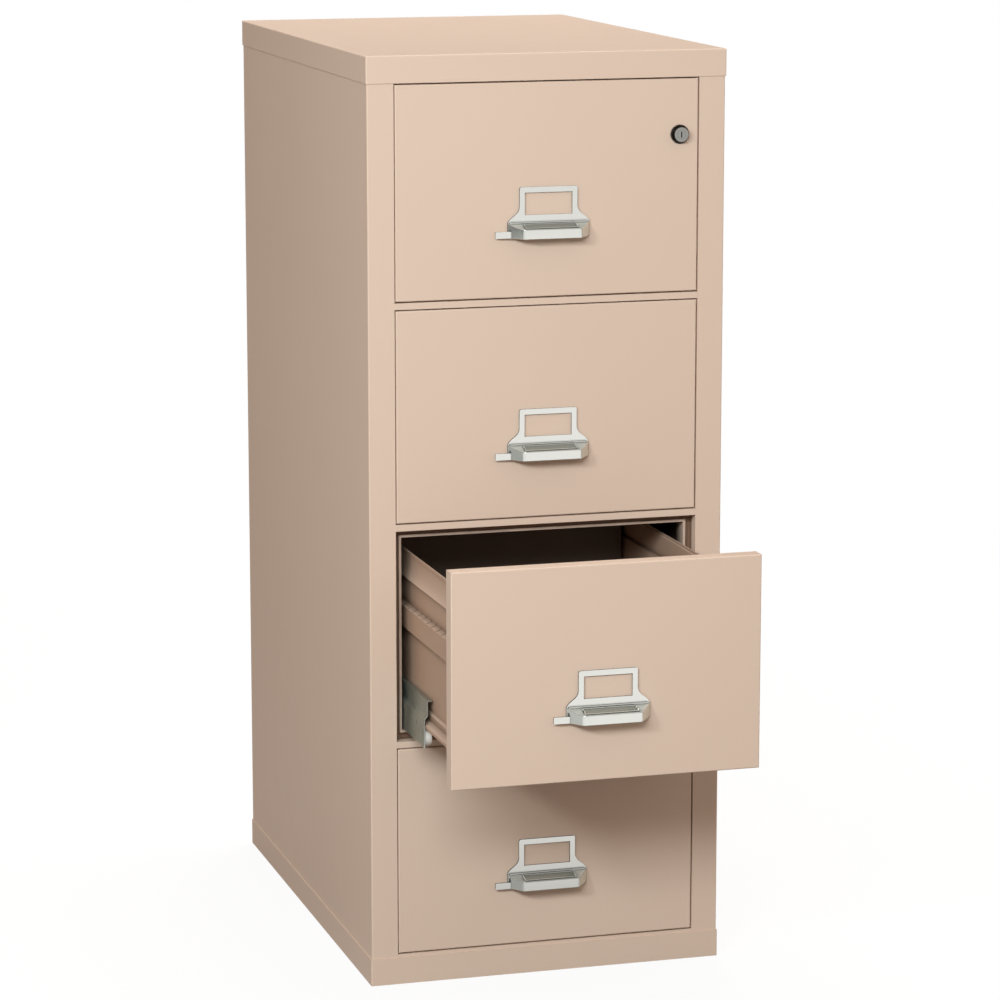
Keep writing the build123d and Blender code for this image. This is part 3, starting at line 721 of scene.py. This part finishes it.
def plain_result(name, source_mesh, tree, values):
    """Runs a geometry tree on a mesh and returns the result as a plain object."""
    piece = link(name, source_mesh)
    modifier = piece.modifiers.new(tree.name, "NODES")
    modifier.node_group = tree
    for item in tree.interface.items_tree:
        if item.item_type == "SOCKET" and item.in_out == "INPUT" and item.name in values:
            modifier[item.identifier] = values[item.name]
    evaluated = piece.evaluated_get(bpy.context.evaluated_depsgraph_get())
    mesh = bpy.data.meshes.new_from_object(evaluated)
    piece.modifiers.clear()
    piece.data = mesh
    return piece


def new_tree(name, inputs):
    """A geometry tree with a geometry input and output and the inputs named."""
    tree = bpy.data.node_groups.new(name, "GeometryNodeTree")
    tree.interface.new_socket(name="Geometry", in_out="OUTPUT",
                              socket_type="NodeSocketGeometry")
    tree.interface.new_socket(name="Points", in_out="INPUT",
                              socket_type="NodeSocketGeometry")
    for label, kind in inputs:
        tree.interface.new_socket(name=label, in_out="INPUT", socket_type=kind)
    source, result = add_nodes(tree, "NodeGroupInput", "NodeGroupOutput")
    return tree, source.outputs, result.inputs


def place_and_finish(tree, source, result, instance, rotation=None):
    """Ends a tree: a copy of the instance on each point, made real, in the finish given."""
    spread, real, painted_node = add_nodes(
        tree, "GeometryNodeInstanceOnPoints", "GeometryNodeRealizeInstances",
        "GeometryNodeSetMaterial")
    connect(tree, (source["Points"], spread.inputs["Points"]),
            (instance, spread.inputs["Instance"]),
            (spread.outputs[0], real.inputs[0]),
            (real.outputs[0], painted_node.inputs["Geometry"]),
            (source["Finish"], painted_node.inputs["Material"]),
            (painted_node.outputs[0], result[0]))
    if rotation is not None:
        connect(tree, (rotation, spread.inputs["Rotation"]))


def roller_tree(name):
    """Bored rollers on the points given, each turned from a rounded section."""
    tree, source, result = new_tree(name, [
        ("Diameter", FLOAT), ("Bore", FLOAT), ("Width", FLOAT), ("Rim Radius", FLOAT),
        ("Segments", "NodeSocketInt"), ("Finish", "NodeSocketMaterial"),
    ])
    ring, section, rounded, sweep, turned = add_nodes(
        tree, "GeometryNodeCurvePrimitiveCircle", "GeometryNodeCurvePrimitiveQuadrilateral",
        "GeometryNodeFilletCurve", "GeometryNodeCurveToMesh", "GeometryNodeTransform")
    both = math_node(tree, "ADD", source["Diameter"], source["Bore"])
    wall = math_node(tree, "SUBTRACT", source["Diameter"], source["Bore"])
    rounded.mode = "POLY"
    rounded.inputs["Count"].default_value = RIM_STEPS
    turned.inputs["Rotation"].default_value = (0, math.pi / 2, 0)
    connect(tree, (math_node(tree, "MULTIPLY", both, 0.25), ring.inputs["Radius"]),
            (source["Segments"], ring.inputs["Resolution"]),
            (math_node(tree, "MULTIPLY", wall, 0.5), section.inputs["Width"]),
            (source["Width"], section.inputs["Height"]),
            (section.outputs[0], rounded.inputs["Curve"]),
            (source["Rim Radius"], rounded.inputs["Radius"]),
            (ring.outputs[0], sweep.inputs["Curve"]),
            (rounded.outputs[0], sweep.inputs["Profile Curve"]),
            (sweep.outputs[0], turned.inputs["Geometry"]))
    place_and_finish(tree, source, result, turned.outputs[0])
    return tree


def rivet_tree(name):
    """Low rivet heads on the points given, which stand along X."""
    tree, source, result = new_tree(name, [
        ("Diameter", FLOAT), ("Height", FLOAT), ("Taper", FLOAT),
        ("Finish", "NodeSocketMaterial"),
    ])
    head, turned = add_nodes(tree, "GeometryNodeMeshCone", "GeometryNodeTransform")
    head.inputs["Vertices"].default_value = RIVET_SEGMENTS
    turned.inputs["Rotation"].default_value = (0, math.pi / 2, 0)
    radius = math_node(tree, "MULTIPLY", source["Diameter"], 0.5)
    connect(tree, (radius, head.inputs["Radius Bottom"]),
            (math_node(tree, "MULTIPLY", radius, source["Taper"]), head.inputs["Radius Top"]),
            (source["Height"], head.inputs["Depth"]),
            (head.outputs["Mesh"], turned.inputs["Geometry"]))
    place_and_finish(tree, source, result, turned.outputs[0])
    return tree


def screw_tree(name):
    """Screws on the points given, each turned by its own angle round Y."""
    tree, source, result = new_tree(name, [
        ("Screw", "NodeSocketObject"), ("Largest Turn", FLOAT),
        ("Finish", "NodeSocketMaterial"),
    ])
    template, chance, turn = add_nodes(
        tree, "GeometryNodeObjectInfo", "FunctionNodeRandomValue", "ShaderNodeCombineXYZ")
    chance.data_type = "FLOAT"
    chance.inputs["Seed"].default_value = SCREW_SEED
    connect(tree, (source["Screw"], template.inputs["Object"]),
            (source["Largest Turn"], chance.inputs[3]),
            (chance.outputs[1], turn.inputs["Y"]))
    place_and_finish(tree, source, result, template.outputs["Geometry"], turn.outputs[0])
    return tree


def point_mesh(name, points):
    mesh = bpy.data.meshes.new(name)
    mesh.from_pydata([tuple(point) for point in points], [], [])
    return mesh


def join_loops(shape, loops):
    """Walls between loops of vertices and a cap at each end, of which it returns the last."""
    for lower, upper in zip(loops, loops[1:]):
        for i in range(len(lower)):
            j = (i + 1) % len(lower)
            shape.faces.new((lower[i], lower[j], upper[j], upper[i]))
    shape.faces.new(loops[0])
    return shape.faces.new(loops[-1])


def screw_radius(angle, wide, narrow):
    """Radius at an angle: a cross between two radii, or round where they are equal."""
    arm = abs(math.cos(2 * angle))
    return narrow + (wide - narrow) * arm ** RECESS_SHARPNESS


def screw_template(head, head_height, shank, shank_length, recess):
    """A pan-head screw along Y with a cross recess, its head's underside at the origin."""
    rings = [(shank * SCREW_TIP,) * 2 + (-shank_length,),
             (shank, shank, shank * SCREW_TIP - shank_length), (shank, shank, 0.0)]
    rings += [(head * share, head * share, head_height * rise) for share, rise in HEAD_PROFILE]
    for (arm, waist), y in ((RECESS_MOUTH, head_height), (RECESS_FLOOR, head_height - recess)):
        rings.append((head * arm, head * waist, y))
    angles = [2 * math.pi * i / SCREW_STEPS for i in range(SCREW_STEPS)]
    shape = bmesh.new()
    loops = []
    for wide, narrow, y in rings:
        radii = [screw_radius(angle, wide, narrow) for angle in angles]
        loops.append([
            shape.verts.new((radius * math.cos(angle), y, radius * math.sin(angle)))
            for radius, angle in zip(radii, angles)
        ])
    join_loops(shape, loops)
    bmesh.ops.recalc_face_normals(shape, faces=shape.faces)
    return link("screw_template", mesh_of(shape, "screw_template"))


def islands(node):
    """Boxes of a node's separate solids, as pairs of corners."""
    shape = node_shape(node)
    boxes, seen = [], set()
    for start in shape.verts:
        if start in seen:
            continue
        group, waiting = [], [start]
        seen.add(start)
        while waiting:
            vert = waiting.pop()
            group.append(vert.co.copy())
            for edge in vert.link_edges:
                other = edge.other_vert(vert)
                if other not in seen:
                    seen.add(other)
                    waiting.append(other)
        low = Vector([min(point[k] for point in group) for k in range(3)])
        high = Vector([max(point[k] for point in group) for k in range(3)])
        boxes.append((low, high))
    shape.free()
    return boxes


def hood_trim(number, sizes):
    """Slot in a pull's hood, with a raised rim, and the roll at the foot of its frame."""
    low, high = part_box(f"handle_{number}")
    middle = (low.x + high.x) / 2
    foot = Vector((middle, low.y + SLOPE_FOOT[0], low.z + SLOPE_FOOT[1]))
    front = Vector((middle, low.y + SLOPE_FRONT[0], low.z + SLOPE_FRONT[1]))
    down = (front - foot).normalized()
    side = Vector((1, 0, 0))
    up = down.cross(side)
    if up.z < 0:
        up.negate()
    rear, fore = foot + down * SLOT_MARGIN, front - down * SLOT_MARGIN / 2
    rim, half = sizes.slot_rim, sizes.slot_length / 2
    shape = bmesh.new()
    loops = []
    for inset, level in ((0, -rim), (0, sizes.slot_depth), (rim, sizes.slot_depth), (rim, 0)):
        loops.append([
            shape.verts.new(edge + down * along * inset + side * across * (half - inset)
                            + up * level)
            for edge, along, across in ((rear, 1, -1), (rear, 1, 1), (fore, -1, 1),
                                        (fore, -1, -1))
        ])
    # The slot's floor takes the second finish, darker as painted shade in the recess
    join_loops(shape, loops).material_index = 1
    turn = Euler((0, math.pi / 2, 0)).to_matrix().to_4x4()
    bmesh.ops.create_cone(
        shape, cap_ends=True, segments=ROLL_SEGMENTS, radius1=sizes.roll, radius2=sizes.roll,
        depth=high.x - low.x - 4 * sizes.roll,
        matrix=Matrix.Translation(foot + down * sizes.roll / 2) @ turn)
    bmesh.ops.recalc_face_normals(shape, faces=shape.faces)
    mesh = mesh_of(shape, "hood_trim")
    mesh.shade_smooth()
    mesh.set_sharp_from_angle(angle=SHARP_ANGLE)
    for finish in ("Chrome", "Slot metal"):
        mesh.materials.append(finish_named(finish))
    trim = link(f"hood_trim_{number}", mesh)
    ease_edges(trim, sizes.roll / 5)
    keep_flat(trim)
    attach(trim, body_of(f"handle_{number}"))


# Operators


class CABINET_OT_casing(Operator):
    """Top cap, base, sides, front rails and back panel in baked enamel"""

    bl_idname = "cabinet.casing"
    bl_label = "Casing"

    def execute(self, context):
        for node in ("top_cap", "base_plinth", "casing_wrapper", "frame_rails", "back_panel"):
            dressed(node, "Casing enamel", context.scene.cabinet_sizes.sheet_edge)
        return {"FINISHED"}


class CABINET_OT_back_screws(Operator):
    """Cross-recess screws that hold the back panel"""

    bl_idname = "cabinet.back_screws"
    bl_label = "Back screws"

    def execute(self, context):
        boxes = islands("back_screws")
        low, high = boxes[0]
        panel_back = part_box("casing_wrapper")[1].y
        head = (high.x - low.x) / 2
        template = screw_template(
            head, high.y - panel_back, head / HEAD_TO_SHANK, panel_back - low.y,
            context.scene.cabinet_sizes.screw_recess)
        centres = [((a.x + b.x) / 2, panel_back, (a.z + b.z) / 2) for a, b in boxes]
        screws = plain_result(
            "back_screws_finished", point_mesh("screw_places", centres),
            tree_named("Back screws", screw_tree),
            {"Screw": template, "Largest Turn": math.pi / 2,
             "Finish": finish_named("Screw plate")},
        )
        bpy.data.objects.remove(template)
        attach(screws, "cabinet")
        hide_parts("back_screws")
        return {"FINISHED"}


class CABINET_OT_linings(Operator):
    """Cavities, seal channels and the poured lining round them"""

    bl_idname = "cabinet.linings"
    bl_label = "Linings"

    def execute(self, context):
        dressed("cavity_linings", "Lining enamel", context.scene.cabinet_sizes.sheet_edge)
        dressed("seal_channels", "Channel paint", 0)
        painted("insulation_core", "Fire lining")
        return {"FINISHED"}


class CABINET_OT_tracks(Operator):
    """Tracks on the cavities' walls and the pads on their floors"""

    bl_idname = "cabinet.tracks"
    bl_label = "Tracks and pads"

    def execute(self, context):
        edge = context.scene.cabinet_sizes.sheet_edge
        dressed("slide_tracks", "Zinc plate", edge / 2)
        dressed("glide_pads", "Nylon", edge)
        return {"FINISHED"}


class CABINET_OT_drawer_heads(Operator):
    """Enamelled drawer fronts and the lining in them"""

    bl_idname = "cabinet.drawer_heads"
    bl_label = "Drawer heads"

    def execute(self, context):
        for number in DRAWERS:
            dressed(f"drawer_front_{number}", "Drawer enamel",
                    context.scene.cabinet_sizes.sheet_edge)
            painted(f"head_core_{number}", "Fire lining")
        return {"FINISHED"}


class CABINET_OT_drawer_bodies(Operator):
    """Side panels, bottoms and backs of the drawers"""

    bl_idname = "cabinet.drawer_bodies"
    bl_label = "Drawer bodies"

    def execute(self, context):
        edge = context.scene.cabinet_sizes.sheet_edge
        for number in DRAWERS:
            for kind in ("drawer_tray", "drawer_sides"):
                dressed(f"{kind}_{number}", "Body enamel", edge)
        return {"FINISHED"}


class CABINET_OT_pulls(Operator):
    """Chrome pulls with their label frames"""

    bl_idname = "cabinet.pulls"
    bl_label = "Pulls"

    def execute(self, context):
        sizes = context.scene.cabinet_sizes
        for number in DRAWERS:
            dressed(f"handle_{number}", "Chrome", sizes.cast_edge)
            hood_trim(number, sizes)
        return {"FINISHED"}


class CABINET_OT_thumb_latches(Operator):
    """Flat latch bars that stand out at the left of the pulls"""

    bl_idname = "cabinet.thumb_latches"
    bl_label = "Thumb latches"

    def execute(self, context):
        for number in DRAWERS:
            dressed(f"thumb_latch_{number}", "Chrome", context.scene.cabinet_sizes.cast_edge)
        return {"FINISHED"}


class CABINET_OT_dividers(Operator):
    """Upright dividers that hold the files"""

    bl_idname = "cabinet.dividers"
    bl_label = "Dividers"

    def execute(self, context):
        for number in DRAWERS:
            dressed(f"follower_block_{number}", "Divider paint",
                    context.scene.cabinet_sizes.sheet_edge)
        return {"FINISHED"}


class CABINET_OT_slide_rails(Operator):
    """Plated slide rails with the rivets at their rollers"""

    bl_idname = "cabinet.slide_rails"
    bl_label = "Slide rails"

    def execute(self, context):
        sizes = context.scene.cabinet_sizes
        for number in DRAWERS:
            node = f"slide_rails_{number}"
            dressed(node, "Zinc plate", sizes.sheet_edge)
            roller_low, roller_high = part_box(f"rail_rollers_{number}")
            axle_y = (roller_low.y + roller_high.y) / 2
            axle_z = (roller_low.z + roller_high.z) / 2
            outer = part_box(node)[1].x + sizes.rivet_height / 2
            rise = sizes.rivet * RIVET_STEP
            places = [
                (side * outer, axle_y + 2 * step, axle_z + step)
                for side in (-1, 1) for step in (0, rise)
            ]
            rivets = plain_result(
                f"rail_rivets_{number}", point_mesh("rivet_places", places),
                tree_named("Rivet heads", rivet_tree),
                {"Diameter": sizes.rivet, "Height": sizes.rivet_height, "Taper": RIVET_TAPER,
                 "Finish": finish_named("Zinc plate")},
            )
            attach(rivets, body_of(node))
        return {"FINISHED"}


class CABINET_OT_rollers(Operator):
    """Nylon rollers of the rails, the tracks and the drawers"""

    bl_idname = "cabinet.rollers"
    bl_label = "Rollers"

    def execute(self, context):
        sizes = context.scene.cabinet_sizes
        for kind in ("rail_rollers", "track_rollers", "drawer_rollers"):
            for number in DRAWERS:
                node = f"{kind}_{number}"
                boxes = islands(node)
                low, high = boxes[0]
                centres = {
                    tuple(round(value, PLACE_DIGITS) for value in (a + b) / 2)
                    for a, b in boxes
                }
                rollers = plain_result(
                    f"{node}_finished", point_mesh("roller_places", sorted(centres)),
                    tree_named("Bored rollers", roller_tree),
                    {"Diameter": high.z - low.z, "Bore": AXLE_BORE,
                     "Width": high.x - low.x, "Rim Radius": sizes.roller_edge,
                     "Segments": sizes.roller_segments, "Finish": finish_named("Nylon")},
                )
                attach(rollers, body_of(node))
                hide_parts(node)
        return {"FINISHED"}


class CABINET_OT_lock(Operator):
    """Push lock of the top drawer and the bar that it lifts"""

    bl_idname = "cabinet.lock"
    bl_label = "Lock"

    def execute(self, context):
        edge = context.scene.cabinet_sizes.sheet_edge
        for node, finish in (("lock_collar", "Lock ring"), ("lock_plunger", "Lock metal"),
                             ("key_plug", "Lock metal"), ("lock_bar", "Zinc plate")):
            dressed(node, finish, edge)
        return {"FINISHED"}


# Studio


def ramp_node(tree, source, stops):
    """Maps a value to a grey level through stops of position and level."""
    ramp = tree.nodes.new("ShaderNodeValToRGB")
    ramp.color_ramp.interpolation = "EASE"
    while len(ramp.color_ramp.elements) < len(stops):
        ramp.color_ramp.elements.new(0.5)
    for element, (position, level) in zip(ramp.color_ramp.elements, stops):
        element.position = position
        element.color = (level, level, level, 1)
    tree.links.new(source, ramp.inputs[0])
    return ramp.outputs[0]


def studio_world(ambient, tone):
    """White for the camera, a plain level for the object and dark cards for reflections."""
    world = bpy.data.worlds.new("Studio")
    world.use_nodes = True
    tree = world.node_tree
    tree.nodes.clear()
    rays, for_camera, for_gloss, for_light, gloss_mix, camera_mix, out = add_nodes(
        tree, "ShaderNodeLightPath", "ShaderNodeBackground", "ShaderNodeBackground",
        "ShaderNodeBackground", "ShaderNodeMixShader", "ShaderNodeMixShader",
        "ShaderNodeOutputWorld")
    for_camera.inputs["Color"].default_value = rgba(WHITE)
    for_light.inputs["Color"].default_value = rgba(tone)
    for_light.inputs["Strength"].default_value = ambient
    direction = axes(tree, coordinates(tree, "Generated"))
    shade = rgba(WHITE)
    for axis, operation, stops in (("Z", "ADD", SKY_BANDS), ("Y", "SUBTRACT", SKY_FACING),
                                   ("X", "SUBTRACT", SKY_AROUND)):
        half = math_node(tree, "MULTIPLY", direction[axis], 0.5)
        card = ramp_node(tree, math_node(tree, operation, 0.5, half), stops)
        shade = tinted(tree, shade, card)
    connect(tree, (shade, for_gloss.inputs["Color"]),
            (rays.outputs["Is Glossy Ray"], gloss_mix.inputs[0]),
            (for_light.outputs[0], gloss_mix.inputs[1]),
            (for_gloss.outputs[0], gloss_mix.inputs[2]),
            (rays.outputs["Is Camera Ray"], camera_mix.inputs[0]),
            (gloss_mix.outputs[0], camera_mix.inputs[1]),
            (for_camera.outputs[0], camera_mix.inputs[2]),
            (camera_mix.outputs[0], out.inputs["Surface"]))
    bpy.context.scene.world = world


def area_light(name, place, target, width, height, watts, tone):
    """An area light aimed at a target. Gloss mirrors the key light alone."""
    data = bpy.data.lights.new(name, "AREA")
    data.color = tone
    data.shape = "RECTANGLE"
    data.size = width
    data.size_y = height
    data.energy = watts
    lamp = bpy.data.objects.new(name, data)
    bpy.context.scene.collection.objects.link(lamp)
    lamp.location = place
    lamp.visible_glossy = name == "Key"
    lamp.rotation_mode = "QUATERNION"
    lamp.rotation_quaternion = (Vector(target) - Vector(place)).to_track_quat("-Z", "Y")


def pale_floor():
    """A wide floor, white for the camera with a faint shadow, and darker as a bounce."""
    mesh = bpy.data.meshes.new("floor")
    corners = ((-1, -1), (1, -1), (1, 1), (-1, 1))
    mesh.from_pydata([(x * FLOOR_HALF, y * FLOOR_HALF, -FLOOR_DROP) for x, y in corners],
                     [], [(0, 1, 2, 3)])
    floor = link("floor", mesh)
    material, tree, shader = new_material("Pale floor")
    shader.inputs["Roughness"].default_value = 0.9
    shader.inputs["Specular IOR Level"].default_value = 0.0
    ray_node, reach, glow, mix = add_nodes(
        tree, "ShaderNodeLightPath", "ShaderNodeVectorMath", "ShaderNodeEmission",
        "ShaderNodeMixShader")
    rays = ray_node.outputs
    place = coordinates(tree)
    bounce = mix_colours(tree, rays["Is Diffuse Ray"], FLOOR_PALE, FLOOR_BOUNCE)
    behind = math_node(tree, "MULTIPLY", axes(tree, place)["Y"], 0.25)
    mirrored = ramp_node(tree, math_node(tree, "ADD", behind, 0.5), FLOOR_MIRROR)
    shown = mix_colours(tree, rays["Is Glossy Ray"], rgba(WHITE), mirrored)
    reach.operation = "LENGTH"
    connect(tree, (place, reach.inputs[0]))
    spread = math_node(tree, "DIVIDE", reach.outputs["Value"], GLOW_REACH)
    white = ramp_node(tree, spread, FLOOR_GLOW)
    seen = math_node(tree, "MAXIMUM", rays["Is Camera Ray"], rays["Is Glossy Ray"])
    connect(tree, (bounce, shader.inputs["Base Color"]), (shown, glow.inputs["Color"]),
            (math_node(tree, "MULTIPLY", seen, white), mix.inputs[0]),
            (shader.outputs[0], mix.inputs[1]), (glow.outputs[0], mix.inputs[2]),
            (mix.outputs[0], tree.nodes["Material Output"].inputs["Surface"]))
    mesh.materials.append(material)


class CABINET_OT_studio(Operator):
    """Camera, lights, floor and white surroundings"""

    bl_idname = "cabinet.studio"
    bl_label = "Studio"

    def execute(self, context):
        scene = context.scene
        studio = scene.cabinet_studio
        data = bpy.data.cameras.new("Camera")
        data.lens = studio.lens
        data.sensor_width = SENSOR_WIDTH
        camera = bpy.data.objects.new("Camera", data)
        scene.collection.objects.link(camera)
        camera.location = studio.camera_place
        camera.rotation_euler = Euler((math.pi / 2 - studio.pitch, 0, -studio.yaw))
        scene.camera = camera
        for name, setting, place, target, width, height in LIGHTS:
            tone = studio.key_colour if name in COOL_LIGHTS else WHITE
            area_light(name, place, target, width, height, getattr(studio, setting), tone)
        pale_floor()
        studio_world(studio.ambient, studio.ambient_colour)
        scene.view_settings.view_transform = "Standard"
        return {"FINISHED"}


OPERATORS = (
    CABINET_OT_casing,
    CABINET_OT_back_screws,
    CABINET_OT_linings,
    CABINET_OT_tracks,
    CABINET_OT_drawer_heads,
    CABINET_OT_drawer_bodies,
    CABINET_OT_pulls,
    CABINET_OT_thumb_latches,
    CABINET_OT_dividers,
    CABINET_OT_slide_rails,
    CABINET_OT_rollers,
    CABINET_OT_lock,
    CABINET_OT_studio,
)


class CABINET_PT_pieces(Panel):
    """Lists the cabinet's pieces"""

    bl_idname = "CABINET_PT_pieces"
    bl_label = "Filing cabinet"
    bl_space_type = "VIEW_3D"
    bl_region_type = "UI"
    bl_category = "Cabinet"

    def draw(self, context):
        layout = self.layout
        scene = context.scene
        for settings in (scene.cabinet_colours, scene.cabinet_sizes, scene.cabinet_studio):
            box = layout.box()
            for name in settings.bl_rna.properties.keys():
                if name not in {"rna_type", "name"}:
                    box.prop(settings, name)
        for operator in OPERATORS:
            layout.operator(operator.bl_idname)


SETTINGS = {
    "cabinet_colours": CabinetColours,
    "cabinet_sizes": CabinetSizes,
    "cabinet_studio": CabinetStudio,
}


def register():
    for kind in (*SETTINGS.values(), *OPERATORS, CABINET_PT_pieces):
        bpy.utils.register_class(kind)
    for name, kind in SETTINGS.items():
        setattr(bpy.types.Scene, name, PointerProperty(type=kind))


def unregister():
    for name in SETTINGS:
        delattr(bpy.types.Scene, name)
    for kind in (CABINET_PT_pieces, *reversed(OPERATORS), *SETTINGS.values()):
        bpy.utils.unregister_class(kind)


def main():
    register()
    for operator in OPERATORS:
        group, name = operator.bl_idname.split(".")
        getattr(getattr(bpy.ops, group), name)()
    bpy.context.view_layer.update()


if __name__ == "__main__":
    main()
